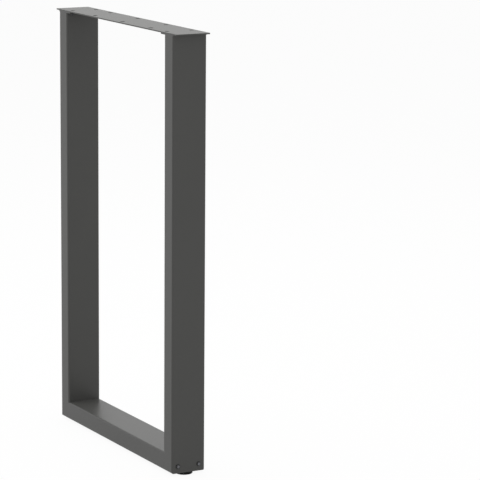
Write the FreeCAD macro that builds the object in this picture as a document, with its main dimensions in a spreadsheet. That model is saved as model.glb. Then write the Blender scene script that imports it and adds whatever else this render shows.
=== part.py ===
import FreeCAD, Part
import os
import Sketcher

# Driving dimensions in millimetres
SIZES = {
    "overall_height": 720,
    "frame_width": 420,
    "tube_depth": 60,
    "tube_width": 30,
    "tube_wall": 1.5,
    "tube_corner_radius": 3,
    "plate_overhang": 12,
    "plate_thickness": 2,
    "plate_corner_radius": 1.5,
    "tabletop_hole_diameter": 8,
    "tabletop_hole_pitch": 102,
    "tabletop_hole_stagger": 16,
    "hole_edge_distance": 8,
    "flange_thickness": 2,
    "flange_inner_reach": 12,
    "weld_leg": 4,
    "weld_crown": 2.4,
    "weld_end_gap": 3,
    "plate_screw_diameter": 4,
    "plate_screw_length": 8,
    "plate_screw_inset": 6,
    "countersink_land": 0.3,
    "screw_hole_clearance": 0.15,
    "bracket_thickness": 3,
    "bracket_side_gap": 3.5,
    "bracket_foot_length": 26,
    "bracket_upright_height": 24,
    "bracket_bend_radius": 1.5,
    "bolt_diameter": 4,
    "bolt_length": 10,
    "bolt_head_diameter": 7.6,
    "bolt_head_height": 2.2,
    "bolt_head_rim": 0.7,
    "bolt_head_crown_diameter": 4.6,
    "bolt_socket_width": 2.5,
    "bolt_socket_depth": 1.2,
    "bolt_edge_distance": 11,
    "bolt_height": 11.5,
    "bolt_hole_clearance": 0.25,
    "thread_clearance": 0.05,
    "nut_width": 13,
    "nut_height": 6.5,
    "stud_diameter": 8,
    "stud_length": 32,
    "stud_head_width": 13,
    "stud_head_thickness": 1.5,
    "stud_hole_clearance": 0.4,
    "foot_height": 5,
    "foot_diameter": 28,
    "foot_running_gap": 0.3,
    "foot_sole_thickness": 1.2,
}

# Distances worked out from the driving dimensions
PLATE_BOTTOM = "Sizes.overall_height - Sizes.plate_thickness"
FLANGE_BOTTOM = PLATE_BOTTOM + " - Sizes.flange_thickness"
POST_CENTRE = "Sizes.frame_width / 2 - Sizes.tube_width / 2"
HALF_TUBE = "Sizes.tube_width / 2"
HALF_WIDTH = "Sizes.frame_width / 2"
INNER_WIDTH = "Sizes.tube_width - 2 * Sizes.tube_wall"
INNER_DEPTH = "Sizes.tube_depth - 2 * Sizes.tube_wall"
INNER_RADIUS = "max(Sizes.tube_corner_radius - Sizes.tube_wall; 0.3)"
HOLE_ROW = "Sizes.tube_depth / 2 - Sizes.hole_edge_distance"
SCREW_INSET = HALF_TUBE + " + Sizes.plate_screw_inset"
SCREW_HEAD_RADIUS = (
    "Sizes.plate_screw_diameter / 2 + Sizes.plate_thickness - Sizes.countersink_land"
)
BRACKET_FACE = HALF_TUBE + " - Sizes.tube_wall"
BRACKET_DEPTH = INNER_DEPTH + " - 2 * Sizes.bracket_side_gap"
BOLT_ROW = "Sizes.tube_depth / 2 - Sizes.bolt_edge_distance"
FOOT_TOP = "Sizes.foot_height - Sizes.foot_running_gap"
STUD_HEAD_TOP = "Sizes.foot_sole_thickness + Sizes.stud_head_thickness"

# How far a cutting outline runs past what it cuts, in millimetres
CUT_MARGIN = "5"

SIDES = (("left", -1), ("right", 1))
HALF_TURN = FreeCAD.Rotation(FreeCAD.Vector(0, 0, 1), 180)
NO_TURN = FreeCAD.Rotation()
HEAD_OUTWARD = FreeCAD.Rotation(FreeCAD.Vector(0, 1, 0), 90)


# Document and sheet

def new_document():
    """A document whose sheet holds every driving dimension under its own name."""
    doc = FreeCAD.newDocument("TableLeg")
    sheet = doc.addObject("Spreadsheet::Sheet", "Sizes")
    for row, (alias, value) in enumerate(SIZES.items(), start=1):
        cell = "B" + str(row)
        sheet.set("A" + str(row), alias)
        sheet.set(cell, str(value))
        sheet.setAlias(cell, alias)
    doc.recompute()
    return doc


# Bodies and sketches

def new_body(doc, label):
    body = doc.addObject("PartDesign::Body", label)
    body.Label = label
    return body


def place(body, x, y, z, rotation=NO_TURN):
    """Turns the body and binds the place of its origin to the sheet."""
    body.Placement = FreeCAD.Placement(FreeCAD.Vector(), rotation)
    for axis, expression in zip("xyz", (x, y, z)):
        body.setExpression("Placement.Base." + axis, expression)


def place_on_side(body, sign, x, y, z, rotation=NO_TURN):
    """Places a piece of the right post, or the same piece turned half round for the left post."""
    turn = HALF_TURN if sign < 0 else NO_TURN
    place(body, f"{sign} * ({x})", f"{sign} * ({y})", z, turn.multiply(rotation))


def origin_feature(body, role):
    for feature in body.Origin.OriginFeatures:
        if feature.Role == role:
            return feature
    raise ValueError("no origin feature " + role)


def new_sketch(body, name, plane, lift="0"):
    """A sketch on one of the body's own origin planes, moved off it by the lift."""
    sketch = body.newObject("Sketcher::SketchObject", body.Label + "_" + name)
    sketch.AttachmentSupport = [(origin_feature(body, plane), "")]
    sketch.MapMode = "FlatFace"
    sketch.setExpression("AttachmentOffset.Base.z", lift)
    return sketch


def bind_constraint(sketch, constraint, expression):
    index = sketch.addConstraint(constraint)
    sketch.setExpression(f"Constraints[{index}]", expression)


def bind_point(sketch, geometry, end, x, y):
    """Ties one point of a sketch to its two distances from the sketch's origin."""
    if x == "0":
        sketch.addConstraint(Sketcher.Constraint("PointOnObject", geometry, end, -2))
    else:
        bind_constraint(sketch, Sketcher.Constraint("DistanceX", -1, 1, geometry, end, 1.0), x)
    if y == "0":
        sketch.addConstraint(Sketcher.Constraint("PointOnObject", geometry, end, -1))
    else:
        bind_constraint(sketch, Sketcher.Constraint("DistanceY", -1, 1, geometry, end, 1.0), y)


def add_polygon(sketch, points):
    """A closed outline through points given as pairs of expressions."""
    count = len(points)
    first = sketch.GeometryCount
    for index in range(count):
        start = FreeCAD.Rotation(FreeCAD.Vector(0, 0, 1), 360 * index / count)
        end = FreeCAD.Rotation(FreeCAD.Vector(0, 0, 1), 360 * (index + 1) / count)
        rough = FreeCAD.Vector(10, 0, 0)
        sketch.addGeometry(Part.LineSegment(start.multVec(rough), end.multVec(rough)))
    for index, (x, y) in enumerate(points):
        following = first + (index + 1) % count
        sketch.addConstraint(Sketcher.Constraint("Coincident", first + index, 2, following, 1))
        bind_point(sketch, first + index, 1, x, y)


def add_rectangle(sketch, width, height):
    """A rectangle centred on the sketch's origin."""
    half_width = f"({width}) / 2"
    half_height = f"({height}) / 2"
    add_polygon(
        sketch,
        [
            ("-" + half_width, "-" + half_height),
            (half_width, "-" + half_height),
            (half_width, half_height),
            ("-" + half_width, half_height),
        ],
    )


def add_circles(sketch, centres, diameter):
    """Circles of one diameter at centres given as pairs of expressions."""
    for index, (x, y) in enumerate(centres):
        rough_centre = FreeCAD.Vector(10 * (index + 1), 10, 0)
        geometry = sketch.addGeometry(Part.Circle(rough_centre, FreeCAD.Vector(0, 0, 1), 1))
        bind_point(sketch, geometry, 3, x, y)
        bind_constraint(sketch, Sketcher.Constraint("Diameter", geometry, 2.0), diameter)


def add_hexagon(sketch, across_flats):
    """A regular hexagon centred on the sketch's origin, on a construction circle."""
    circle = sketch.addGeometry(Part.Circle(FreeCAD.Vector(), FreeCAD.Vector(0, 0, 1), 5), True)
    sketch.addConstraint(Sketcher.Constraint("Coincident", circle, 3, -1, 1))
    bind_constraint(
        sketch, Sketcher.Constraint("Diameter", circle, 10.0), f"({across_flats}) / cos(30)"
    )
    first = sketch.GeometryCount
    corner = FreeCAD.Vector(5, 0, 0)
    for index in range(6):
        start = FreeCAD.Rotation(FreeCAD.Vector(0, 0, 1), 60 * index)
        end = FreeCAD.Rotation(FreeCAD.Vector(0, 0, 1), 60 * (index + 1))
        sketch.addGeometry(Part.LineSegment(start.multVec(corner), end.multVec(corner)))
    for index in range(6):
        following = first + (index + 1) % 6
        sketch.addConstraint(Sketcher.Constraint("Coincident", first + index, 2, following, 1))
        sketch.addConstraint(Sketcher.Constraint("PointOnObject", first + index, 1, circle))
    for index in range(1, 6):
        sketch.addConstraint(Sketcher.Constraint("Equal", first, first + index))
    sketch.addConstraint(Sketcher.Constraint("PointOnObject", first, 1, -1))


# Features

def add_pad(body, sketch, length, midplane=False):
    pad = body.newObject("PartDesign::Pad", sketch.Name + "_pad")
    pad.Profile = sketch
    pad.Midplane = midplane
    pad.setExpression("Length", length)
    return pad


def add_through_pocket(body, sketch):
    """A cut both ways from the sketch, right through the body."""
    pocket = body.newObject("PartDesign::Pocket", sketch.Name + "_pocket")
    pocket.Profile = sketch
    pocket.Type = "ThroughAll"
    pocket.Midplane = True
    return pocket


def add_pocket_back(body, sketch, depth):
    """A blind cut of the given depth, against the sketch's normal."""
    pocket = body.newObject("PartDesign::Pocket", sketch.Name + "_pocket")
    pocket.Profile = sketch
    pocket.setExpression("Length", depth)
    return pocket


def add_pocket_forward(body, sketch, depth):
    """A cut of the given depth along the sketch's normal."""
    pocket = add_pocket_back(body, sketch, depth)
    pocket.Reversed = True
    return pocket


def add_revolution(body, sketch):
    """Turns the outline once round the sketch's vertical axis."""
    revolution = body.newObject("PartDesign::Revolution", sketch.Name + "_revolution")
    revolution.Profile = sketch
    revolution.ReferenceAxis = (sketch, ["V_Axis"])
    return revolution


def repeat_body(body, axis, length):
    """A second copy of the whole body at the given distance along one of its own axes."""
    body.Document.recompute()
    body.AllowCompound = True
    pattern = body.newObject("PartDesign::LinearPattern", body.Label + "_pair")
    pattern.TransformMode = "Whole shape"
    pattern.Direction = (origin_feature(body, axis), [""])
    pattern.Occurrences = 2
    pattern.setExpression("Length", length)
    body.Tip = pattern


def fillet_edges(body, base, name, radius, chosen):
    """Rounds the edges of the last feature that the test picks out."""
    body.Document.recompute()
    names = [
        f"Edge{index}"
        for index, edge in enumerate(base.Shape.Edges, start=1)
        if chosen(edge)
    ]
    fillet = body.newObject("PartDesign::Fillet", body.Label + "_" + name)
    fillet.Base = (base, names)
    fillet.setExpression("Radius", radius)
    return fillet


def runs_along(edge, axis):
    """Whether an edge is a straight one parallel to the axis."""
    if not isinstance(edge.Curve, Part.Line):
        return False
    return abs(edge.Curve.Direction.dot(axis)) > 0.999


def distance_off_axis(edge, axis):
    """How far an edge parallel to the axis lies from the body's origin axis."""
    point = edge.CenterOfMass
    return (point - axis * point.dot(axis)).Length


def round_corners(body, base, name, radius, axis):
    """Rounds the long edges of a bar or a plate."""
    return fillet_edges(body, base, name, radius, lambda edge: runs_along(edge, axis))


def build_tube(body, plane, axis, length, midplane):
    """A rectangular tube with rolled corners, hollow from end to end."""
    sketch = new_sketch(body, "section", plane)
    if plane == "XY_Plane":
        add_rectangle(sketch, "Sizes.tube_width", "Sizes.tube_depth")
        add_rectangle(sketch, INNER_WIDTH, INNER_DEPTH)
    else:
        add_rectangle(sketch, "Sizes.tube_depth", "Sizes.tube_width")
        add_rectangle(sketch, INNER_DEPTH, INNER_WIDTH)
    pad = add_pad(body, sketch, length, midplane)
    body.Document.recompute()
    reach = [distance_off_axis(edge, axis) for edge in pad.Shape.Edges if runs_along(edge, axis)]
    boundary = (max(reach) + min(reach)) / 2
    outer = fillet_edges(
        body,
        pad,
        "outer_corners",
        "Sizes.tube_corner_radius",
        lambda edge: runs_along(edge, axis) and distance_off_axis(edge, axis) > boundary,
    )
    inner_corner = FreeCAD.Vector(SIZES["tube_width"], SIZES["tube_depth"], 0) / 2
    inner_corner -= FreeCAD.Vector(SIZES["tube_wall"], SIZES["tube_wall"], 0)
    inner_reach = inner_corner.Length
    return fillet_edges(
        body,
        outer,
        "inner_corners",
        INNER_RADIUS,
        lambda edge: runs_along(edge, axis)
        and abs(distance_off_axis(edge, axis) - inner_reach) < 0.01,
    )


# Frame pieces

def build_top_plate(doc):
    """The flat plate that the tabletop is screwed to, with two staggered rows of holes."""
    body = new_body(doc, "top_plate")
    sketch = new_sketch(body, "outline", "XY_Plane")
    add_rectangle(sketch, "Sizes.frame_width + 2 * Sizes.plate_overhang", "Sizes.tube_depth")
    pad = add_pad(body, sketch, "Sizes.plate_thickness")
    round_corners(body, pad, "corners", "Sizes.plate_corner_radius", FreeCAD.Vector(0, 0, 1))

    centres = []
    for sign in (1, -1):
        for step in (-1, 0, 1):
            along = f"{sign} * ({step} * Sizes.tabletop_hole_pitch - Sizes.tabletop_hole_stagger)"
            centres.append((along, f"{sign} * ({HOLE_ROW})"))
    holes = new_sketch(body, "tabletop_holes", "XY_Plane")
    add_circles(holes, centres, "Sizes.tabletop_hole_diameter")
    add_through_pocket(body, holes)

    screw_centres = []
    for side_sign in (-1, 1):
        for row_sign in (-1, 1):
            along = f"{side_sign} * ({POST_CENTRE} - ({SCREW_INSET}))"
            screw_centres.append((along, f"{row_sign} * ({HOLE_ROW})"))
    screw_holes = new_sketch(body, "screw_holes", "XY_Plane", "Sizes.plate_thickness")
    add_circles(screw_holes, screw_centres, "Sizes.plate_screw_diameter")
    doc.recompute()
    hole = body.newObject("PartDesign::Hole", "top_plate_countersinks")
    hole.Profile = screw_holes
    hole.DepthType = "ThroughAll"
    hole.HoleCutType = "Countersink"
    hole.HoleCutCustomValues = True
    hole.HoleCutCountersinkAngle = 90
    hole.setExpression(
        "Diameter", "Sizes.plate_screw_diameter + 2 * Sizes.screw_hole_clearance"
    )
    hole.setExpression(
        "HoleCutDiameter", f"2 * ({SCREW_HEAD_RADIUS} + Sizes.screw_hole_clearance)"
    )
    place(body, "0", "0", PLATE_BOTTOM)
    return body


def build_post(doc, side, sign):
    """An upright of rectangular tube, mitred at its foot and drilled for the bracket bolts."""
    body = new_body(doc, side + "_post")
    build_tube(
        body,
        "XY_Plane",
        FreeCAD.Vector(0, 0, 1),
        f"{FLANGE_BOTTOM} - Sizes.foot_height",
        False,
    )
    mitre = new_sketch(body, "mitre", "XZ_Plane")
    outer = f"{HALF_TUBE} + {CUT_MARGIN}"
    inner = f"-({HALF_TUBE} + {CUT_MARGIN})"
    add_polygon(
        mitre,
        [(outer, f"-{CUT_MARGIN}"), (inner, f"Sizes.tube_width + {CUT_MARGIN}"),
         (inner, f"-{CUT_MARGIN}")],
    )
    add_through_pocket(body, mitre)
    holes = new_sketch(body, "bolt_holes", "YZ_Plane")
    add_circles(
        holes,
        [(f"{row} * ({BOLT_ROW})", "Sizes.bolt_height") for row in (-1, 1)],
        "Sizes.bolt_diameter + 2 * Sizes.bolt_hole_clearance",
    )
    add_pocket_forward(body, holes, f"{HALF_TUBE} + {CUT_MARGIN}")
    place_on_side(body, sign, POST_CENTRE, "0", "Sizes.foot_height")
    return body


def build_bottom_bar(doc):
    """The cross bar of the same tube, laid flat, mitred at both ends and drilled for the feet."""
    body = new_body(doc, "bottom_bar")
    build_tube(body, "YZ_Plane", FreeCAD.Vector(1, 0, 0), "Sizes.frame_width", True)
    mitres = new_sketch(body, "mitres", "XZ_Plane")
    low = f"-({HALF_TUBE} + {CUT_MARGIN})"
    high = f"{HALF_TUBE} + {CUT_MARGIN}"
    for sign in (-1, 1):
        tip = f"{sign} * ({HALF_WIDTH} + {CUT_MARGIN})"
        shoulder = f"{sign} * ({HALF_WIDTH} - Sizes.tube_width - {CUT_MARGIN})"
        add_polygon(mitres, [(tip, low), (tip, high), (shoulder, high)])
    add_through_pocket(body, mitres)
    holes = new_sketch(body, "stud_holes", "XY_Plane")
    add_circles(
        holes,
        [(f"{sign} * ({POST_CENTRE})", "0") for sign in (-1, 1)],
        "Sizes.stud_diameter + 2 * Sizes.stud_hole_clearance",
    )
    add_pocket_back(body, holes, f"{HALF_TUBE} + {CUT_MARGIN}")
    place(body, "0", "0", f"Sizes.foot_height + {HALF_TUBE}")
    return body


def build_post_flange(doc, side, sign):
    """The small plate that closes the top of a post and reaches inward under the top plate."""
    body = new_body(doc, side + "_post_flange")
    inner = f"-({HALF_TUBE} + Sizes.flange_inner_reach)"
    outer = HALF_TUBE
    half_depth = "Sizes.tube_depth / 2"
    sketch = new_sketch(body, "outline", "XY_Plane")
    add_polygon(
        sketch,
        [
            (inner, "-" + half_depth),
            (outer, "-" + half_depth),
            (outer, half_depth),
            (inner, half_depth),
        ],
    )
    add_pad(body, sketch, "Sizes.flange_thickness")
    holes = new_sketch(body, "tapped_holes", "XY_Plane")
    add_circles(
        holes,
        [(f"-({SCREW_INSET})", f"{row} * ({HOLE_ROW})") for row in (-1, 1)],
        "Sizes.plate_screw_diameter + 2 * Sizes.thread_clearance",
    )
    add_through_pocket(body, holes)
    place_on_side(body, sign, POST_CENTRE, "0", FLANGE_BOTTOM)
    return body


def build_flange_weld(doc, side, sign):
    """The fillet weld in the corner under the inner end of a post flange."""
    body = new_body(doc, side + "_flange_weld")
    sketch = new_sketch(body, "bead", "XZ_Plane")
    add_polygon(
        sketch,
        [
            (f"-({HALF_TUBE})", "0"),
            (f"-({HALF_TUBE} + Sizes.weld_leg)", "0"),
            (f"-({HALF_TUBE} + Sizes.weld_crown)", "-Sizes.weld_crown"),
            (f"-({HALF_TUBE})", "-Sizes.weld_leg"),
        ],
    )
    add_pad(body, sketch, "Sizes.tube_depth - 2 * Sizes.weld_end_gap", True)
    place_on_side(body, sign, POST_CENTRE, "0", FLANGE_BOTTOM)
    return body


def build_plate_screws(doc, side, sign):
    """Two countersunk screws, flush with the top plate and tapped into a post flange."""
    body = new_body(doc, side + "_plate_screws")
    rod = "Sizes.plate_screw_diameter / 2"
    sketch = new_sketch(body, "profile", "XZ_Plane")
    add_polygon(
        sketch,
        [
            ("0", "0"),
            ("0", "-Sizes.plate_screw_length"),
            (rod, "-Sizes.plate_screw_length"),
            (rod, "-(Sizes.plate_thickness - Sizes.countersink_land)"),
            (SCREW_HEAD_RADIUS, "0"),
        ],
    )
    add_revolution(body, sketch)
    repeat_body(body, "Y_Axis", f"2 * ({HOLE_ROW})")
    place_on_side(
        body,
        sign,
        f"{POST_CENTRE} - ({SCREW_INSET})",
        f"-({HOLE_ROW})",
        "Sizes.overall_height",
    )
    return body


# Levelling feet

def build_foot_bracket(doc, side, sign):
    """The folded bracket inside a lower corner, tapped for its bolts and holed for the stud."""
    body = new_body(doc, side + "_foot_bracket")
    floor = "Sizes.tube_wall"
    face = BRACKET_FACE
    sketch = new_sketch(body, "profile", "XZ_Plane")
    add_polygon(
        sketch,
        [
            (f"{face} - Sizes.bracket_foot_length", floor),
            (face, floor),
            (face, f"{floor} + Sizes.bracket_upright_height"),
            (f"{face} - Sizes.bracket_thickness", f"{floor} + Sizes.bracket_upright_height"),
            (f"{face} - Sizes.bracket_thickness", f"{floor} + Sizes.bracket_thickness"),
            (
                f"{face} - Sizes.bracket_foot_length",
                f"{floor} + Sizes.bracket_thickness",
            ),
        ],
    )
    pad = add_pad(body, sketch, BRACKET_DEPTH, True)
    doc.recompute()
    box = pad.Shape.BoundBox
    outside = FreeCAD.Vector(box.XMax, 0, box.ZMin)
    across = FreeCAD.Vector(0, 1, 0)
    outer_bend = fillet_edges(
        body,
        pad,
        "outer_bend",
        "Sizes.bracket_bend_radius + Sizes.bracket_thickness",
        lambda edge: runs_along(edge, across) and edge.distToShape(Part.Vertex(outside))[0] < 0.01,
    )
    inside = outside + FreeCAD.Vector(-1, 0, 1) * SIZES["bracket_thickness"]
    fillet_edges(
        body,
        outer_bend,
        "inner_bend",
        "Sizes.bracket_bend_radius",
        lambda edge: runs_along(edge, across) and edge.distToShape(Part.Vertex(inside))[0] < 0.01,
    )
    bolt_holes = new_sketch(body, "tapped_holes", "YZ_Plane")
    add_circles(
        bolt_holes,
        [(f"{row} * ({BOLT_ROW})", "Sizes.bolt_height") for row in (-1, 1)],
        "Sizes.bolt_diameter + 2 * Sizes.thread_clearance",
    )
    add_through_pocket(body, bolt_holes)
    stud_hole = new_sketch(body, "stud_hole", "XY_Plane")
    add_circles(stud_hole, [("0", "0")], "Sizes.stud_diameter + 2 * Sizes.stud_hole_clearance")
    add_through_pocket(body, stud_hole)
    place_on_side(body, sign, POST_CENTRE, "0", "Sizes.foot_height")
    return body


def build_bracket_bolts(doc, side, sign):
    """Two button head bolts that hold a foot bracket against the outer wall of its post."""
    body = new_body(doc, side + "_bracket_bolts")
    rod = "Sizes.bolt_diameter / 2"
    head = "Sizes.bolt_head_diameter / 2"
    sketch = new_sketch(body, "profile", "XZ_Plane")
    add_polygon(
        sketch,
        [
            ("0", "-Sizes.bolt_length"),
            (rod, "-Sizes.bolt_length"),
            (rod, "0"),
            (head, "0"),
            (head, "Sizes.bolt_head_rim"),
            ("Sizes.bolt_head_crown_diameter / 2", "Sizes.bolt_head_height"),
            ("0", "Sizes.bolt_head_height"),
        ],
    )
    add_revolution(body, sketch)
    socket = new_sketch(body, "socket", "XY_Plane", "Sizes.bolt_head_height")
    add_hexagon(socket, "Sizes.bolt_socket_width")
    add_pocket_back(body, socket, "Sizes.bolt_socket_depth")
    repeat_body(body, "Y_Axis", f"2 * ({BOLT_ROW})")
    place_on_side(
        body,
        sign,
        HALF_WIDTH,
        f"-({BOLT_ROW})",
        "Sizes.foot_height + Sizes.bolt_height",
        HEAD_OUTWARD,
    )
    return body


def build_foot_nut(doc, side, sign):
    """The weld nut on the bracket that the foot's stud screws into."""
    body = new_body(doc, side + "_foot_nut")
    sketch = new_sketch(body, "outline", "XY_Plane")
    add_hexagon(sketch, "Sizes.nut_width")
    add_circles(sketch, [("0", "0")], "Sizes.stud_diameter + 2 * Sizes.thread_clearance")
    add_pad(body, sketch, "Sizes.nut_height")
    place_on_side(
        body,
        sign,
        POST_CENTRE,
        "0",
        "Sizes.foot_height + Sizes.tube_wall + Sizes.bracket_thickness",
    )
    return body


def build_foot_stud(doc, side, sign):
    """The threaded rod of a levelling foot, with the hexagon head that its pad is moulded round."""
    body = new_body(doc, side + "_foot_stud")
    head = new_sketch(body, "head", "XY_Plane", "Sizes.foot_sole_thickness")
    add_hexagon(head, "Sizes.stud_head_width")
    add_pad(body, head, "Sizes.stud_head_thickness")
    rod = new_sketch(body, "rod", "XY_Plane", STUD_HEAD_TOP)
    add_circles(rod, [("0", "0")], "Sizes.stud_diameter")
    add_pad(body, rod, "Sizes.stud_length")
    place_on_side(body, sign, POST_CENTRE, "0", "0")
    return body


def build_foot_pad(doc, side, sign):
    """The black disc that the leg stands on, moulded round the head of its stud."""
    body = new_body(doc, side + "_foot_pad")
    disc = new_sketch(body, "disc", "XY_Plane")
    add_circles(disc, [("0", "0")], "Sizes.foot_diameter")
    add_pad(body, disc, FOOT_TOP)
    seat = new_sketch(body, "head_seat", "XY_Plane", STUD_HEAD_TOP)
    add_hexagon(seat, "Sizes.stud_head_width")
    add_pocket_back(body, seat, "Sizes.stud_head_thickness")
    bore = new_sketch(body, "bore", "XY_Plane", FOOT_TOP)
    add_circles(bore, [("0", "0")], "Sizes.stud_diameter")
    add_pocket_back(body, bore, f"{FOOT_TOP} - ({STUD_HEAD_TOP})")
    place_on_side(body, sign, POST_CENTRE, "0", "0")
    return body


SIDE_PIECES = (
    build_post,
    build_post_flange,
    build_flange_weld,
    build_plate_screws,
    build_foot_bracket,
    build_bracket_bolts,
    build_foot_nut,
    build_foot_stud,
    build_foot_pad,
)


# Checking and export

def check_document(doc, pieces):
    """Stops before anything is written if an object failed or a piece has no sound shape."""
    for item in doc.Objects:
        if "Invalid" in item.State or "Error" in item.State:
            raise RuntimeError(f"{item.Label} failed: {item.State}")
    for piece in pieces:
        if piece.Shape.isNull() or not piece.Shape.isValid():
            raise RuntimeError(piece.Label + " has no valid shape")
        if not piece.Shape.Solids:
            raise RuntimeError(piece.Label + " has no solid")


def export_pieces(pieces):
    os.makedirs("parts", exist_ok=True)
    for piece in pieces:
        piece.Shape.exportStep(f"parts/{piece.Label}.step")
        print(f"{piece.Label}: {len(piece.Shape.Solids)} solid(s), {piece.Shape.Volume:.0f} mm3")


def main():
    doc = new_document()
    pieces = [build_top_plate(doc), build_bottom_bar(doc)]
    for build_piece in SIDE_PIECES:
        for side, sign in SIDES:
            pieces.append(build_piece(doc, side, sign))
    doc.recompute()
    check_document(doc, pieces)
    export_pieces(pieces)


main()
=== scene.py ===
"""Dressed model of a U shaped table leg welded from rectangular steel tube."""

import logging
import math
from collections.abc import Callable, Sequence
from dataclasses import dataclass, field
from enum import Enum

import bmesh
import bpy
from bpy.types import Material, Node, NodeSocket, NodeTree, Object
from mathutils import Matrix, Vector

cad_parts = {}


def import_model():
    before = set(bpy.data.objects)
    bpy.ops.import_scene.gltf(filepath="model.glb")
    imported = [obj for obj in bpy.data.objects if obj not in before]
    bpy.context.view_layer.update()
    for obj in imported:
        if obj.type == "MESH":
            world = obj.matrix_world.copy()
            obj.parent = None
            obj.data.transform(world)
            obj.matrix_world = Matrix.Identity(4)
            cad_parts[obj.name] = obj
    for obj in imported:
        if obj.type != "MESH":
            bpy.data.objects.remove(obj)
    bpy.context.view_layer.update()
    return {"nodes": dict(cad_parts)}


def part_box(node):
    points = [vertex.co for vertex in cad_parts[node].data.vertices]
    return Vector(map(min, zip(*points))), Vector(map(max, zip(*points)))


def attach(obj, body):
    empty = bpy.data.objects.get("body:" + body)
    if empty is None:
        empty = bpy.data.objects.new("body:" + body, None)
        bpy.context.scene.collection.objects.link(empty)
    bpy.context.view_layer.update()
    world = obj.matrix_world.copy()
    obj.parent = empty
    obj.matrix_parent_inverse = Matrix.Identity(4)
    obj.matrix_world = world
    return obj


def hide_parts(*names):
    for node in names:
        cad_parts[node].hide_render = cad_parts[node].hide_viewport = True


LOG = logging.getLogger("table_leg")

# The pieces' sizes are written in millimetres and modelled in metres
MM = 0.001

# At this many sides a small round part strays from its circle by less than a hair's width
FINE_SIDES = 48

# Vertices nearer than this, in metres, are one vertex
SAME_POINT = 1e-6

# A cut takes vertices nearer to its plane than this, in metres, as lying on it
ON_PLANE = 1e-7

# Depth of a metric thread and width of its flat crest, as shares of the pitch
THREAD_DEPTH = 0.61
THREAD_CREST = 0.12

# Turns that a thread is wound past each end before it is cut square
SPARE_TURNS = 1.5

# A socket's drill point narrows to this share of its width over this share of its depth
DRILL_POINT = 0.25

# How far a cutter stands out of what it cuts, in millimetres
OVERCUT = 1.0

HEXAGON_SIDES = 6


class Side(Enum):
    """The two ends of the leg, named as its nodes are."""

    LEFT = "left"
    RIGHT = "right"

    @property
    def sign(self) -> int:
        """Which way along X this end lies."""
        return -1 if self is Side.LEFT else 1


# Colours and nodes

def linear(hex_colour: str) -> tuple[float, float, float, float]:
    """Turns an sRGB hex colour to the linear one a shader takes.

    Args:
        hex_colour: The colour as written on a paint chart, such as "#4a4a48".

    Returns:
        Red, green, blue and an alpha of one.
    """
    channels = []
    for start in (1, 3, 5):
        value = int(hex_colour[start:start + 2], 16) / 255
        channels.append(value / 12.92 if value <= 0.04045 else ((value + 0.055) / 1.055) ** 2.4)
    return (channels[0], channels[1], channels[2], 1.0)


def add_node(
    tree: NodeTree,
    kind: str,
    settings: dict[str, object] | None = None,
    values: dict[str | int, object] | None = None,
    links: dict[str | int, NodeSocket] | None = None,
) -> Node:
    """Adds one node with its settings, its plain values and what feeds it.

    Args:
        tree: The tree that the node joins.
        kind: The node's type name.
        settings: Attributes of the node itself.
        values: Sockets that hold a constant.
        links: Sockets fed by another node's output.

    Returns:
        The new node.
    """
    node = tree.nodes.new(kind)
    for key, value in (settings or {}).items():
        setattr(node, key, value)
    for key, value in (values or {}).items():
        node.inputs[key].default_value = value
    for key, socket in (links or {}).items():
        tree.links.new(socket, node.inputs[key])
    return node


def new_material(name: str) -> tuple[Material, NodeTree]:
    """Starts a material with an empty tree.

    Args:
        name: The real finish's name.

    Returns:
        The material and its node tree.
    """
    material = bpy.data.materials.new(name)
    material.use_nodes = True
    material.node_tree.nodes.clear()
    return material, material.node_tree


def per_metre(size_mm: float) -> float:
    """The scale at which a noise on Object coordinates has features of this size."""
    return 1 / (size_mm * MM)


def patchy_colour(
    tree: NodeTree,
    place: NodeSocket,
    size_mm: float,
    colours: tuple[str, str],
    detail: float,
    limits: tuple[float, float] = (0.0, 1.0),
) -> tuple[NodeSocket, NodeSocket]:
    """Lets one colour give way to another in soft patches.

    Args:
        tree: The material's tree.
        place: The coordinates that the patches lie on.
        size_mm: Width of a patch.
        colours: The main colour and the patches' colour.
        detail: How finely a patch's outline is broken up.
        limits: Values of the noise at which the second colour starts and is full.

    Returns:
        The noise and the colour.
    """
    noise = add_node(
        tree, "ShaderNodeTexNoise",
        values={"Scale": per_metre(size_mm), "Detail": detail},
        links={"Vector": place},
    )
    share = add_node(
        tree, "ShaderNodeMapRange",
        values={"From Min": limits[0], "From Max": limits[1]},
        links={"Value": noise.outputs["Fac"]},
    )
    mixed = add_node(
        tree, "ShaderNodeMix",
        settings={"data_type": "RGBA"},
        values={6: linear(colours[0]), 7: linear(colours[1])},
        links={0: share.outputs["Result"]},
    )
    return noise.outputs["Fac"], mixed.outputs[2]


def grained_skin(
    tree: NodeTree,
    place: NodeSocket,
    size_mm: float,
    depth_mm: float,
    detail: float = 2.0,
    under: NodeSocket | None = None,
) -> tuple[NodeSocket, NodeSocket]:
    """Raises a surface in small grains.

    Args:
        tree: The material's tree.
        place: The coordinates that the grains lie on.
        size_mm: Width of a grain.
        depth_mm: Height of a grain.
        detail: How finely its outline is broken up.
        under: The normal of a skin that this one lies on.

    Returns:
        The grains' height from nought to one, and the normal they give.
    """
    noise = add_node(
        tree, "ShaderNodeTexNoise",
        values={"Scale": per_metre(size_mm), "Detail": detail},
        links={"Vector": place},
    )
    links = {"Height": noise.outputs["Fac"]}
    if under is not None:
        links["Normal"] = under
    bump = add_node(
        tree, "ShaderNodeBump", values={"Strength": 1.0, "Distance": depth_mm * MM}, links=links
    )
    return noise.outputs["Fac"], bump.outputs["Normal"]


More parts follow.
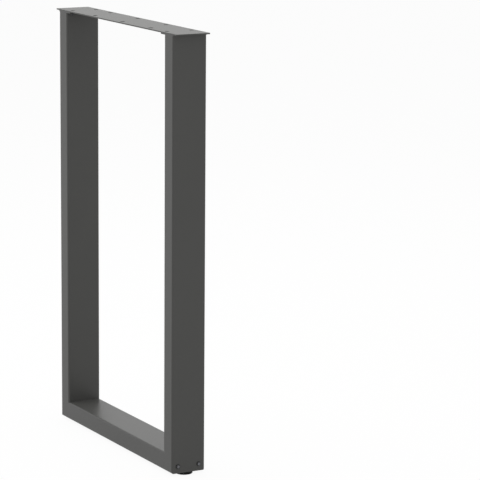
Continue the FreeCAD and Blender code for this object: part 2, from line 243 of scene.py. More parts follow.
def close_surface(
    tree: NodeTree,
    colour: NodeSocket,
    dulling: NodeSocket,
    roughness: tuple[float, float],
    skin: NodeSocket,
    shading: dict[str | int, object],
) -> None:
    """Brings a finish's colour, roughness and skin together as a material's surface.

    Args:
        tree: The material's tree.
        colour: The finish's colour.
        dulling: A value from nought to one that its roughness follows.
        roughness: Its roughness at nought and at one.
        skin: Its normal.
        shading: Plain values of the shader.
    """
    gloss = add_node(
        tree, "ShaderNodeMapRange",
        values={"To Min": roughness[0], "To Max": roughness[1]},
        links={"Value": dulling},
    )
    shader = add_node(
        tree, "ShaderNodeBsdfPrincipled",
        values=shading,
        links={"Base Color": colour, "Roughness": gloss.outputs["Result"], "Normal": skin},
    )
    add_node(tree, "ShaderNodeOutputMaterial", links={"Surface": shader.outputs["BSDF"]})


# Finishes

@dataclass(frozen=True)
class PowderCoat:
    """Anthracite polyester powder coat, sprayed dry and baked, with a satin skin."""

    name: str = "anthracite_powder_coat"
    colour: str = "#4b4b49"
    shade: str = "#474745"
    ior: float = 1.5
    roughness: tuple[float, float] = (0.32, 0.42)
    shade_mm: float = 60
    peel_mm: float = 1.8
    peel_depth_mm: float = 0.012
    grain_mm: float = 0.35
    grain_depth_mm: float = 0.004

    def tint(self, tree: NodeTree, colour: NodeSocket) -> NodeSocket:
        """The film's own colour, as it comes."""
        return colour

    def material(self) -> Material:
        """Builds the coat.

        The baked film flows out into a low orange peel with a fine grain on top, so that
        edges of reflections look soft and slightly broken.

        Returns:
            The material.
        """
        material, tree = new_material(self.name)
        place = add_node(tree, "ShaderNodeTexCoord").outputs["Object"]
        colours = (self.colour, self.shade)
        _, colour = patchy_colour(tree, place, self.shade_mm, colours, detail=3.0)
        _, peel = grained_skin(tree, place, self.peel_mm, self.peel_depth_mm, detail=1.0)
        grain, skin = grained_skin(tree, place, self.grain_mm, self.grain_depth_mm, under=peel)
        close_surface(
            tree, self.tint(tree, colour), grain, self.roughness, skin, {"IOR": self.ior}
        )
        return material


@dataclass(frozen=True)
class BoredPlateCoat(PowderCoat):
    """The same coat on a drilled plate that lies level, with painted shade inside its bores.

    Attributes:
        rim_mm: Width of the band along the plate's edges in which no bore lies.
        level_from: Height of the normal from which a face counts as level.
    """

    name: str = "anthracite_powder_coat_painted_bore_shade"
    roughness: tuple[float, float] = (0.35, 0.45)
    # Near-black painted shade for the walls of the bores
    painted_bore_shade: str = "#1c1c1c"
    plate_length_mm: float = 444
    plate_width_mm: float = 60
    rim_mm: float = 2
    level_from: float = 0.8

    def tint(self, tree: NodeTree, colour: NodeSocket) -> NodeSocket:
        """Paints shade on the walls of the bores.

        They are the upright faces that don't lie on the plate's rim. A near-black colour is
        painted on them as the shade inside the bores, so that each bore reads as dark.

        Args:
            tree: The material's tree.
            colour: The film's colour.

        Returns:
            The colour with dark bores.
        """
        geometry = add_node(tree, "ShaderNodeNewGeometry")
        facing = add_node(
            tree, "ShaderNodeSeparateXYZ", links={0: geometry.outputs["True Normal"]}
        )
        place = add_node(tree, "ShaderNodeTexCoord")
        spot = add_node(tree, "ShaderNodeSeparateXYZ", links={0: place.outputs["Object"]})
        share = self.below(tree, facing.outputs["Z"], self.level_from)
        for axis, size_mm in (("X", self.plate_length_mm), ("Y", self.plate_width_mm)):
            within = self.below(tree, spot.outputs[axis], (size_mm / 2 - self.rim_mm) * MM)
            both = add_node(
                tree, "ShaderNodeMath",
                settings={"operation": "MULTIPLY"},
                links={0: share, 1: within},
            )
            share = both.outputs["Value"]
        # Painted shade: where the share is one, the bore walls take the near-black colour
        mixed = add_node(
            tree, "ShaderNodeMix",
            settings={"data_type": "RGBA"},
            values={7: linear(self.painted_bore_shade)},
            links={0: share, 6: colour},
        )
        return mixed.outputs[2]

    def below(self, tree: NodeTree, socket: NodeSocket, limit: float) -> NodeSocket:
        """Tests whether a value lies nearer to nought than a limit.

        Args:
            tree: The material's tree.
            socket: The value.
            limit: The limit.

        Returns:
            One where it does, else nought.
        """
        size = add_node(
            tree, "ShaderNodeMath", settings={"operation": "ABSOLUTE"}, links={0: socket}
        )
        test = add_node(
            tree, "ShaderNodeMath",
            settings={"operation": "LESS_THAN"},
            values={1: limit},
            links={0: size.outputs["Value"]},
        )
        return test.outputs["Value"]


@dataclass(frozen=True)
class ScrewSteel:
    """Forged alloy steel of cap screws, under the skin that a bath or a key has left."""

    name: str
    colour: str
    worn: str
    roughness: tuple[float, float]
    metallic: float = 1.0
    specular: float = 0.5
    blotch_mm: float = 1.4
    wear_limits: tuple[float, float] = (0.45, 0.8)
    grain_mm: float = 0.25
    grain_depth_mm: float = 0.006

    def material(self) -> Material:
        """Builds the skin.

        Blotches where it is worn, and a fine grain all over, break up its sheen.

        Returns:
            The material.
        """
        material, tree = new_material(self.name)
        place = add_node(tree, "ShaderNodeTexCoord").outputs["Object"]
        colours = (self.colour, self.worn)
        blotch, colour = patchy_colour(
            tree, place, self.blotch_mm, colours, detail=4.0, limits=self.wear_limits
        )
        _, skin = grained_skin(tree, place, self.grain_mm, self.grain_depth_mm)
        shading = {"Metallic": self.metallic, "Specular IOR Level": self.specular}
        close_surface(tree, colour, blotch, self.roughness, skin, shading)
        return material


# A hot oxide bath leaves dark metal, which glints dully where handling has thinned the oxide
BLACK_OXIDE = ScrewSteel("black_oxide_steel", "#3a3a3c", "#5a5a5c", (0.28, 0.44))

# Plain steel where a key or a tapped hole has worn the skin off; on bolt crowns it is also a
# painted highlight
RUBBED_STEEL_AND_HIGHLIGHT = ScrewSteel("rubbed_steel_and_painted_highlight", "#757679", "#8b8c90", (0.24, 0.4))

# Crystals of a phosphate bath soak up light and stay dull even seen along the surface
BLACK_PHOSPHATE = ScrewSteel(
    "black_phosphate_steel", "#1b1b1c", "#2a2a2b", (0.79, 0.95), metallic=0.0, specular=0.12
)


@dataclass(frozen=True)
class ZincPlate:
    """Bright zinc plating on rolled and pressed steel."""

    colour: str = "#c3c5c8"
    spangle: str = "#aeb1b5"
    roughness: tuple[float, float] = (0.24, 0.38)
    spangle_mm: float = 2.2
    rolling_mm: float = 0.5
    rolling_depth_mm: float = 0.004
    rolling_stretch: float = 0.06

    def material(self) -> Material:
        """Builds the plating.

        Grains of slightly different grey and faint rolling lines, drawn out along Y, keep it
        from a mirror look.

        Returns:
            The material.
        """
        material, tree = new_material("bright_zinc_plate")
        place = add_node(tree, "ShaderNodeTexCoord").outputs["Object"]
        spangle = add_node(
            tree, "ShaderNodeTexVoronoi",
            values={"Scale": per_metre(self.spangle_mm)},
            links={"Vector": place},
        )
        grey = add_node(tree, "ShaderNodeRGBToBW", links={"Color": spangle.outputs["Color"]})
        colour = add_node(
            tree, "ShaderNodeMix",
            settings={"data_type": "RGBA"},
            values={6: linear(self.colour), 7: linear(self.spangle)},
            links={0: grey.outputs["Val"]},
        )
        along = add_node(
            tree, "ShaderNodeMapping",
            values={"Scale": (1.0, self.rolling_stretch, 1.0)},
            links={"Vector": place},
        )
        _, skin = grained_skin(
            tree, along.outputs["Vector"], self.rolling_mm, self.rolling_depth_mm
        )
        close_surface(
            tree, colour.outputs[2], grey.outputs["Val"], self.roughness, skin, {"Metallic": 1.0}
        )
        return material


@dataclass(frozen=True)
class MouldedPolyamide:
    """Black polyamide of furniture glides, injection moulded in a spark-eroded mould."""

    colour: str = "#0e0e0e"
    scuff: str = "#191918"
    ior: float = 1.53
    specular: float = 0.15
    roughness: tuple[float, float] = (0.49, 0.67)
    texture_mm: float = 0.4
    texture_depth_mm: float = 0.02
    scuff_mm: float = 5
    scuff_limits: tuple[float, float] = (0.5, 0.8)

    def material(self) -> Material:
        """Builds the plastic.

        The eroded mould leaves a fine matt grain, greyed in patches by dust and scuffs.

        Returns:
            The material.
        """
        material, tree = new_material("black_moulded_polyamide")
        place = add_node(tree, "ShaderNodeTexCoord").outputs["Object"]
        colours = (self.colour, self.scuff)
        scuff, colour = patchy_colour(
            tree, place, self.scuff_mm, colours, detail=5.0, limits=self.scuff_limits
        )
        _, skin = grained_skin(tree, place, self.texture_mm, self.texture_depth_mm)
        shading = {"IOR": self.ior, "Specular IOR Level": self.specular}
        close_surface(tree, colour, scuff, self.roughness, skin, shading)
        return material


# Modelling

def clear_selection() -> None:
    """Deselects every object, so that the next operator acts on its own piece alone."""
    bpy.ops.object.select_all(action="DESELECT")
    bpy.context.view_layer.objects.active = None


def take_up(obj: Object) -> None:
    """Makes one object the only selected and the active one.

    Args:
        obj: The object.
    """
    clear_selection()
    obj.select_set(True)
    bpy.context.view_layer.objects.active = obj


def settle(obj: Object) -> None:
    """Writes an object's place and turn into its mesh, so that it ends at the origin."""
    take_up(obj)
    bpy.ops.object.transform_apply(location=True, rotation=True, scale=True)


def apply_modifier(obj: Object, kind: str, **settings: object) -> None:
    """Adds a modifier with its settings and applies it at once.

    Args:
        obj: The piece.
        kind: The modifier's type name.
        **settings: Attributes of the modifier.
    """
    take_up(obj)
    modifier = obj.modifiers.new(kind.lower(), kind)
    for key, value in settings.items():
        setattr(modifier, key, value)
    bpy.ops.object.modifier_apply(modifier=modifier.name)


def copy_piece(obj: Object, name: str, place: Matrix) -> Object:
    """Copies a piece with a mesh of its own.

    Args:
        obj: The piece modelled at the origin.
        name: The copy's name.
        place: Where the copy goes, as a turn and a shift.

    Returns:
        The copy, settled at its place.
    """
    twin = obj.copy()
    twin.data = obj.data.copy()
    twin.name = name
    twin.data.name = name
    bpy.context.collection.objects.link(twin)
    twin.matrix_world = place
    settle(twin)
    return twin


def join_pieces(pieces: Sequence[Object], name: str) -> Object:
    """Joins pieces that one node of the frame holds together.

    Args:
        pieces: The pieces, the first of which takes in the others.
        name: The joined piece's name.

    Returns:
        The joined piece.
    """
    clear_selection()
    for piece in pieces:
        piece.select_set(True)
    bpy.context.view_layer.objects.active = pieces[0]
    bpy.ops.object.join()
    joined = bpy.context.view_layer.objects.active
    joined.name = name
    joined.data.name = name
    return joined


def discard(obj: Object) -> None:
    """Removes a piece that was only a pattern or a cutter.

    Args:
        obj: The piece.
    """
    mesh = obj.data
    bpy.data.objects.remove(obj)
    bpy.data.meshes.remove(mesh)


def begin_edit() -> None:
    """Opens the active piece for editing, with all of it selected."""
    bpy.ops.object.mode_set(mode="EDIT")
    bpy.ops.mesh.select_all(action="SELECT")


def end_edit() -> None:
    """Turns every face of the piece outwards and ends its editing."""
    bpy.ops.mesh.select_all(action="SELECT")
    bpy.ops.mesh.normals_make_consistent(inside=False)
    bpy.ops.object.mode_set(mode="OBJECT")


def turned(name: str, profile: Sequence[tuple[float, float]], sides: int) -> Object:
    """Raises a round piece from a disc by extruding its top ring after ring.

    Args:
        name: The piece's name.
        profile: Radius and height of each ring in millimetres, from the lowest.
        sides: How many sides stand for the circle.

    Returns:
        A closed piece on the Z axis.
    """
    radius, height = profile[0]
    clear_selection()
    bpy.ops.mesh.primitive_circle_add(
        vertices=sides, radius=radius * MM, fill_type="NGON", location=(0, 0, height * MM)
    )
    obj = bpy.context.active_object
    obj.name = name
    settle(obj)
    begin_edit()
    for next_radius, next_height in profile[1:]:
        rise = (0, 0, (next_height - height) * MM)
        bpy.ops.mesh.extrude_region_move(TRANSFORM_OT_translate={"value": rise})
        growth = next_radius / radius
        bpy.ops.transform.resize(
            value=(growth, growth, 1), center_override=(0, 0, next_height * MM)
        )
        radius, height = next_radius, next_height
    end_edit()
    return obj


def hexagon_corner(across_flats: float) -> float:
    """The distance from a hexagon's middle to its corners."""
    return across_flats / math.sqrt(3)


def cut_hexagon(obj: Object, across_flats: float, top: float, depth: float) -> None:
    """Cuts a hexagonal socket with a drill-point floor down the Z axis.

    Args:
        obj: The piece to cut.
        across_flats: The key's width in millimetres.
        top: Height of the socket's mouth in millimetres.
        depth: Depth of its flats in millimetres.
    """
    corner = hexagon_corner(across_flats)
    cutter = turned(
        "socket_cutter",
        [
            (corner * DRILL_POINT, top - depth * (1 + DRILL_POINT)),
            (corner, top - depth),
            (corner, top + OVERCUT),
        ],
        HEXAGON_SIDES,
    )
    apply_modifier(obj, "BOOLEAN", operation="DIFFERENCE", object=cutter, solver="EXACT")
    discard(cutter)


def smooth_by_angle(obj: Object, degrees: float = 32) -> None:
    """Shades edges that turn by less than an angle smooth and leaves the others crisp."""
    take_up(obj)
    bpy.ops.object.shade_smooth_by_angle(angle=math.radians(degrees))


def finish_faces(
    obj: Object, material: Material, chosen: Callable[[Vector], bool] | None = None
) -> None:
    """Gives a piece one more finish, all over or on the faces that a test picks by their middle.

    Args:
        obj: The piece.
        material: The finish.
        chosen: The test on a face's middle in millimetres, or nothing for every face.
    """
    obj.data.materials.append(material)
    index = len(obj.data.materials) - 1
    for face in obj.data.polygons:
        if chosen is None or chosen(face.center / MM):
            face.material_index = index


def hand_over(obj: Object, body: str, node: str) -> None:
    """Ties a finished piece to its body and to the node it stands for.

    Args:
        obj: The settled piece.
        body: The body it moves with.
        node: The node that it replaces.
    """
    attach(obj, body)
    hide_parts(node)
    LOG.info("%s: %d faces on %s", obj.name, len(obj.data.polygons), body)


def paint_node(obj: Object, material: Material) -> None:
    """Puts one finish on a node of the frame.

    Args:
        obj: The node's object.
        material: The finish.
    """
    if not obj.material_slots:
        obj.data.materials.append(material)
    for slot in obj.material_slots:
        slot.material = material
    LOG.info("%s: finished in %s", obj.name, material.name)


def node_centre(node: str) -> Vector:
    """The middle of a node's box at rest."""
    low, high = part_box(node)
    return (Vector(low) + Vector(high)) / 2


# The leg's pieces

@dataclass(frozen=True)
class Thread:
    """A metric thread.

    Attributes:
        diameter: Outside diameter.
        pitch: Rise of one turn.
        sides: Sides in one turn.
    """

    diameter: float
    pitch: float
    sides: int

    def rod(self, name: str, low: float, high: float) -> Object:
        """Winds the thread's profile up the Z axis and cuts both ends square.

        Args:
            name: The piece's name.
            low: Lower end in millimetres.
            high: Upper end in millimetres.

        Returns:
            A closed rod with a helical thread.
        """
        crest = self.diameter / 2
        root = crest - THREAD_DEPTH * self.pitch
        turns = math.ceil((high - low) / self.pitch) + round(2 * SPARE_TURNS)
        clear_selection()
        bpy.ops.mesh.primitive_plane_add(size=MM, location=(0, 0, 0))
        obj = bpy.context.active_object
        obj.name = name
        begin_edit()
        bpy.ops.mesh.merge(type="CENTER")
        bpy.ops.transform.translate(value=(root * MM, 0, (low - SPARE_TURNS * self.pitch) * MM))
        depth = (crest - root) * MM
        flank = (1 - THREAD_CREST) / 2
        for across, rise in ((depth, flank), (0, THREAD_CREST), (-depth, flank)):
            bpy.ops.mesh.extrude_region_move(
                TRANSFORM_OT_translate={"value": (across, 0, rise * self.pitch * MM)}
            )
        bpy.ops.object.mode_set(mode="OBJECT")
        apply_modifier(
            obj,
            "SCREW",
            axis="Z",
            angle=math.tau,
            screw_offset=self.pitch * MM,
            iterations=turns,
            steps=self.sides,
            render_steps=self.sides,
            use_merge_vertices=True,
            merge_threshold=SAME_POINT,
        )
        begin_edit()
        bpy.ops.mesh.remove_doubles(threshold=SAME_POINT)
        bpy.ops.mesh.normals_make_consistent(inside=False)
        for height, below in ((low, True), (high, False)):
            bpy.ops.mesh.select_all(action="SELECT")
            bpy.ops.mesh.bisect(
                plane_co=(0, 0, height * MM),
                plane_no=(0, 0, 1),
                use_fill=True,
                clear_inner=below,
                clear_outer=not below,
                threshold=ON_PLANE,
            )
        end_edit()
        return obj


@dataclass
class WeldedFrame:
    """The tube frame, coated after welding, and its drilled plate, coated before assembly."""

    coat: PowderCoat = field(default_factory=PowderCoat)
    plate_coat: PowderCoat = field(default_factory=BoredPlateCoat)
    members: tuple[str, ...] = ("post", "post_flange")

    def build(self, nodes: dict[str, Object]) -> Material:
        """Coats the frame's own solids.

        Args:
            nodes: The frame's objects by name.

        Returns:
            The coat, which the welds share.
        """
        coat = self.coat.material()
        paired = [f"{side.value}_{member}" for side in Side for member in self.members]
        for name in ("bottom_bar", *paired):
            paint_node(nodes[name], coat)
        paint_node(nodes["top_plate"], self.plate_coat.material())
        return coat


@dataclass
class FlangeWeld:
    """The fillet weld under a flange's inner end, laid in short overlapping pools.

    Attributes:
        ripple: Length of one pool.
        round_from: Share of the leg outside which a point lies on the bead's round face.
        pool: Sizes of one pool's rings, as shares of the bead's.
        crater: Sizes of the last rings, where the bead dies out.
    """

    leg: float = 4.0
    throat: float = 3.3
    length: float = 54.0
    ripple: float = 1.35
    section_sides: int = 16
    round_from: float = 0.5
    pool: tuple[float, ...] = (1.025, 1.0, 0.975)
    crater: tuple[float, ...] = (0.86, 0.74, 0.62)
    smooth_degrees: float = 50

    def section(self) -> Object:
        """Models the bead's first end, a quarter disc flattened to the throat.

        Returns:
            The section, facing along Y, with its corner on the Y axis.
        """
        clear_selection()
        bpy.ops.mesh.primitive_circle_add(
            vertices=self.section_sides, radius=self.leg * MM, fill_type="NGON", location=(0, 0, 0)
        )
        obj = bpy.context.active_object
        obj.name = "weld_bead"
        bpy.ops.object.mode_set(mode="EDIT")
        for away in ((1, 0, 0), (0, 1, 0)):
            bpy.ops.mesh.select_all(action="SELECT")
            bpy.ops.mesh.bisect(
                plane_co=(0, 0, 0), plane_no=away, use_fill=False, clear_inner=True
            )
        bpy.ops.object.mode_set(mode="OBJECT")
        obj.rotation_euler = (-math.pi / 2, 0, 0)
        obj.location = (0, -self.length / 2 * MM, 0)
        settle(obj)
        flattening = self.throat / self.leg
        # The round face comes in most halfway between the two legs
        for vertex in obj.data.vertices:
            reach = math.hypot(vertex.co.x, vertex.co.z)
            if reach > self.round_from * self.leg * MM:
                lean = abs(math.sin(2 * math.atan2(-vertex.co.z, vertex.co.x)))
                factor = 1 - (1 - flattening) * lean
                vertex.co.x *= factor
                vertex.co.z *= factor
        return obj

    def bead(self) -> Object:
        """Models one bead along Y, with its root on the Y axis and its pools towards +X and -Z.

        Returns:
            The bead.
        """
        obj = self.section()
        pools = round(self.length / self.ripple)
        scales = (self.pool * pools)[:-len(self.crater)] + self.crater
        step = self.length / pools / len(self.pool)
        here = -self.length / 2
        last = 1.0
        begin_edit()
        for scale in scales:
            here += step
            bpy.ops.mesh.extrude_region_move(TRANSFORM_OT_translate={"value": (0, step * MM, 0)})
            bpy.ops.transform.resize(
                value=(scale / last, 1, scale / last), center_override=(0, here * MM, 0)
            )
            last = scale
        end_edit()
        return obj

    def build(self, coat: Material) -> None:
        """Lays a bead in the corner between each post and its flange.

        Args:
            coat: The finish of the frame, which covers the welds.
        """
        bead = self.bead()
        finish_faces(bead, coat)
        for side in Side:
            node = f"{side.value}_flange_weld"
            low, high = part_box(node)
            root = high[0] if side is Side.RIGHT else low[0]
            turn = math.pi if side is Side.RIGHT else 0
            place = Matrix.Translation((root, 0, high[2])) @ Matrix.Rotation(turn, 4, "Z")
            weld = copy_piece(bead, f"{node}_rippled", place)
            smooth_by_angle(weld, self.smooth_degrees)
            hand_over(weld, "frame", node)
        discard(bead)


@dataclass
class ButtonHeadBolt:
    """A low domed cap screw with a hexagon socket.

    Attributes:
        under_edge: Width and height of the small taper under the head.
        rim: Height at which the dome starts.
        buried: How far the shank reaches into the head.
        rub_and_highlight_ring: How far the bright bare steel, key wear that is also a painted
            highlight, reaches past the crown.
        rub_depth: Depth of the socket's worn part, as a share of its flats' depth.
        turns: How far the two bolts of a post are screwed round, in radians.
    """

    head_diameter: float = 7.6
    head_height: float = 2.2
    under_edge: tuple[float, float] = (0.25, 0.2)
    rim: float = 0.3
    crown_diameter: float = 4.0
    dome_rings: int = 9
    socket: float = 2.5
    socket_depth: float = 1.2
    edge: float = 0.09
    edge_segments: int = 2
    edge_degrees: float = 48
    thread: Thread = Thread(4.0, 0.7, 32)
    length: float = 10.0
    buried: float = 0.1
    rub_and_highlight_ring: float = 0.15
    rub_depth: float = 1.3
    turns: tuple[float, float] = (-0.4, 0.4)

    def head_profile(self) -> list[tuple[float, float]]:
        """Sets out the rings of the head, from its seat to its flat crown.

        Returns:
            Radius and height of each ring.
        """
        outer = self.head_diameter / 2
        crown = self.crown_diameter / 2
        width, height = self.under_edge
        rings = [(outer - width, 0.0), (outer, height), (outer, self.rim)]
        for index in range(1, self.dome_rings + 1):
            angle = math.pi / 2 * index / self.dome_rings
            radius = crown + (outer - crown) * math.cos(angle)
            height = self.rim + (self.head_height - self.rim) * math.sin(angle)
            rings.append((radius, height))
        return rings

    def model(self, oxide: Material, rubbed_and_highlit: Material) -> Object:
        """Models one bolt on the Z axis, its head above the origin.

        Args:
            oxide: The finish all over.
            rubbed_and_highlit: The finish of the crown and the socket, where the key turned; on
                the crown it is also a painted highlight.

        Returns:
            The bolt.
        """
        head = turned("bolt_head", self.head_profile(), FINE_SIDES)
        cut_hexagon(head, self.socket, self.head_height, self.socket_depth)
        apply_modifier(
            head,
            "BEVEL",
            width=self.edge * MM,
            segments=self.edge_segments,
            limit_method="ANGLE",
            angle_limit=math.radians(self.edge_degrees),
        )
        shank = self.thread.rod("bolt_shank", -self.length, self.buried)
        bolt = join_pieces([head, shank], "bolt")
        mouth = self.crown_diameter / 2 + self.rub_and_highlight_ring
        floor = self.head_height - self.rub_depth * self.socket_depth
        finish_faces(bolt, oxide)
        # Bright bare steel on the crown and in the socket: key wear, and on the crown a painted
        # highlight of the dome
        finish_faces(bolt, rubbed_and_highlit, lambda middle: middle.z > floor and middle.xy.length < mouth)
        return bolt

    def build(self, oxide: Material, rubbed_and_highlit: Material) -> None:
        """Sets two bolts in the outer face of each post, heads outward.

        Args:
            oxide: The bolts' finish.
            rubbed_and_highlit: The finish where the key turned, also a painted highlight on the
                crown.
        """
        bolt = self.model(oxide, rubbed_and_highlit)
        for side in Side:
            node = f"{side.value}_bracket_bolts"
            low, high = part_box(node)
            middle = node_centre(node)
            face = high[0] if side is Side.RIGHT else low[0]
            seat = face - side.sign * self.head_height * MM
            reach = (high[1] - low[1]) / 2 - self.head_diameter / 2 * MM
            pair = []
            for row, turn in zip((-reach, reach), self.turns):
                place = (
                    Matrix.Translation((seat, row, middle.z))
                    @ Matrix.Rotation(side.sign * math.pi / 2, 4, "Y")
                    @ Matrix.Rotation(turn, 4, "Z")
                )
                pair.append(copy_piece(bolt, f"{node}_one", place))
            bolts = join_pieces(pair, f"{node}_button_head")
            smooth_by_angle(bolts)
            hand_over(bolts, "frame", node)
        discard(bolt)


@dataclass
class CountersunkScrew:
    """The flush screw that fastens the plate to a flange.

    Attributes:
        land: Height of the upright band round the head.
        edge: Width and height of the small taper on that band.
        neck: Radius of the head's lower end inside the rod, as a share of the rod's.
        bath_depth: How far below the head its finish ends.
        turns: How far the two screws of a flange are screwed round, in radians.
    """

    head_radius: float = 3.7
    head_depth: float = 1.7
    land: float = 0.12
    edge: tuple[float, float] = (0.1, 0.05)
    neck: float = 0.8
    neck_depth: float = 0.3
    socket: float = 2.5
    socket_depth: float = 1.1
    thread: Thread = Thread(4.0, 0.7, 28)
    length: float = 8.0
    bath_depth: float = 0.1
    turns: tuple[float, float] = (-0.7, 1.3)

    def model(self, phosphate: Material, rubbed_and_highlit: Material) -> Object:
        """Models one screw on the Z axis, its flat head just below the origin.

        Args:
            phosphate: The finish of its head.
            rubbed_and_highlit: The finish of its thread, which the tapped hole has worn bare.

        Returns:
            The screw.
        """
        rod = self.thread.diameter / 2
        width, height = self.edge
        head = turned(
            "screw_head",
            [
                (rod * self.neck, -self.head_depth - self.neck_depth),
                (rod, -self.head_depth),
                (self.head_radius, -self.land),
                (self.head_radius, -height),
                (self.head_radius - width, 0.0),
            ],
            FINE_SIDES,
        )
        cut_hexagon(head, self.socket, 0.0, self.socket_depth)
        shank = self.thread.rod("screw_shank", -self.length, -self.head_depth)
        screw = join_pieces([head, shank], "screw")
        bath_end = -self.head_depth - self.bath_depth
        finish_faces(screw, phosphate)
        finish_faces(screw, rubbed_and_highlit, lambda middle: middle.z < bath_end)
        return screw

    def build(self, phosphate: Material, rubbed_and_highlit: Material) -> None:
        """Sets two screws flush with the plate at each end.

        Args:
            phosphate: The finish of their heads.
            rubbed_and_highlit: The finish of their threads.
        """
        screw = self.model(phosphate, rubbed_and_highlit)
        for side in Side:
            node = f"{side.value}_plate_screws"
            low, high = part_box(node)
            middle = node_centre(node)
            reach = (high[1] - low[1]) / 2 - self.head_radius * MM
            pair = []
            for row, turn in zip((-reach, reach), self.turns):
                spot = Matrix.Translation((middle.x, row, high[2]))
                place = spot @ Matrix.Rotation(turn, 4, "Z")
                pair.append(copy_piece(screw, f"{node}_one", place))
            screws = join_pieces(pair, f"{node}_countersunk")
            smooth_by_angle(screws)
            hand_over(screws, "frame", node)
        discard(screw)


@dataclass
class LevellingFoot:
    """A threaded stud with a moulded glide, which screws in and out under a post.

    Attributes:
        sole: Rings of the glide's foot, each a distance in from its rim and a height.
        shoulder: Rings of its upper edge, each a distance in and a depth below its top.
        well: Rings of the well round the stud, each a distance out from the bore and a depth.
        notch_band: Width of the band at the rim that the notches take in.
        notch_reach: How far out a notch lies, as a share of the rim's.
        stud_foot: Height at which the stud leaves its head.
        gap: Room between the stud and the glide moulded round it.
        core: Distance in from the thread to the head's last ring, inside the rod.
        runout: How far below the stud's end its thread stops.
        tip: Rings of the plain tip, each a distance in from the thread and a depth.
    """

    glide_diameter: float = 28.0
    glide_height: float = 4.7
    sole: tuple[tuple[float, float], ...] = (
        (2.6, 0.25), (2.2, 0.0), (1.0, 0.0), (0.45, 0.2), (0.1, 0.75), (0.0, 1.4)
    )
    shoulder: tuple[tuple[float, float], ...] = ((0.0, 1.1), (0.2, 0.45), (0.7, 0.1), (1.3, 0.0))
    well: tuple[tuple[float, float], ...] = ((3.2, 0.0), (2.6, 0.25), (0.0, 0.25))
    grip_notches: int = 36
    sides_per_notch: int = 4
    notch_band: float = 0.5
    notch_reach: float = 0.985
    turn: float = 0.2
    thread: Thread = Thread(8.0, 1.25, 40)
    stud_length: float = 32.0
    stud_foot: float = 2.7
    head_width: float = 13.0
    head_thickness: float = 1.5
    head_chamfer: float = 0.3
    gap: float = 0.02
    core: float = 0.9
    buried: float = 0.1
    runout: float = 0.8
    thread_smooth_degrees: float = 24
    tip: tuple[tuple[float, float], ...] = ((0.8, 1.4), (0.8, 0.4), (1.2, 0.0))

    def glide(self) -> Object:
        """Models the glide standing on the origin, with a well for the stud in its top.

        Returns:
            The glide.
        """
        rim = self.glide_diameter / 2
        top = self.glide_height
        bore = self.thread.diameter / 2 + self.gap
        obj = turned(
            "glide",
            [
                *((rim - inward, height) for inward, height in self.sole),
                *((rim - inward, top - depth) for inward, depth in self.shoulder),
                *((bore + outward, top - depth) for outward, depth in self.well),
                (bore, self.stud_foot + self.gap),
            ],
            self.grip_notches * self.sides_per_notch,
        )
        self.notch_rim(obj)
        return obj

    def notch_rim(self, obj: Object) -> None:
        """Presses shallow finger notches into the glide's rim.

        Args:
            obj: The glide, turned with the same number of sides to each notch.
        """
        band = self.glide_diameter / 2 * MM - self.notch_band * MM
        sides = self.sides_per_notch
        take_up(obj)
        bpy.ops.object.mode_set(mode="EDIT")
        mesh = bmesh.from_edit_mesh(obj.data)
        for vertex in mesh.verts:
            around = math.atan2(vertex.co.y, vertex.co.x) / math.tau * self.grip_notches
            at_notch = round(around * sides) % sides == 0
            vertex.select_set(vertex.co.xy.length > band and at_notch)
        mesh.select_flush_mode()
        bmesh.update_edit_mesh(obj.data)
        bpy.ops.transform.resize(
            value=(self.notch_reach, self.notch_reach, 1), center_override=(0, 0, 0)
        )
        bpy.ops.object.mode_set(mode="OBJECT")

    def stud(self) -> Object:
        """Models the stud over the origin, its head as high as it sits in the glide.

        Returns:
            The stud.
        """
        radius = self.thread.diameter / 2
        corner = hexagon_corner(self.head_width)
        foot = self.stud_foot
        end = foot + self.stud_length
        head = turned(
            "stud_head",
            [
                (corner - self.head_chamfer, foot - self.head_thickness),
                (corner, foot - self.head_thickness + self.head_chamfer),
                (corner, foot - self.gap),
                (radius - self.core, foot - self.gap),
            ],
            HEXAGON_SIDES,
        )
        rod = self.thread.rod("stud_rod", foot - self.buried, end - self.runout)
        tip = turned(
            "stud_tip", [(radius - inward, end - depth) for inward, depth in self.tip], FINE_SIDES
        )
        return join_pieces([head, rod, tip], "stud")

    def build(self, plastic: Material, zinc: Material) -> None:
        """Puts a glide and its stud under each post.

        Args:
            plastic: The glide's finish.
            zinc: The stud's finish.
        """
        glide = self.glide()
        finish_faces(glide, plastic)
        stud = self.stud()
        finish_faces(stud, zinc)
        for side in Side:
            body = f"{side.value}_foot"
            node = f"{side.value}_foot_pad"
            middle = node_centre(node)
            place = Matrix.Translation((middle.x, middle.y, 0))
            turned_place = place @ Matrix.Rotation(self.turn * side.sign, 4, "Z")
            moulded = copy_piece(glide, f"{node}_moulded", turned_place)
            smooth_by_angle(moulded)
            hand_over(moulded, body, node)
            rod_node = f"{side.value}_foot_stud"
            threaded = copy_piece(stud, f"{rod_node}_threaded", place)
            smooth_by_angle(threaded, self.thread_smooth_degrees)
            hand_over(threaded, body, rod_node)
        discard(glide)
        discard(stud)


@dataclass
class CornerBracket:
    """The folded bracket and its weld nut, hidden inside a lower corner."""

    members: tuple[str, ...] = ("foot_bracket", "foot_nut")

    def build(self, nodes: dict[str, Object], zinc: Material) -> None:
        """Plates the brackets and nuts.

        Args:
            nodes: The frame's objects by name.
            zinc: Their finish.
        """
        for side in Side:
            for member in self.members:
                paint_node(nodes[f"{side.value}_{member}"], zinc)


# Studio

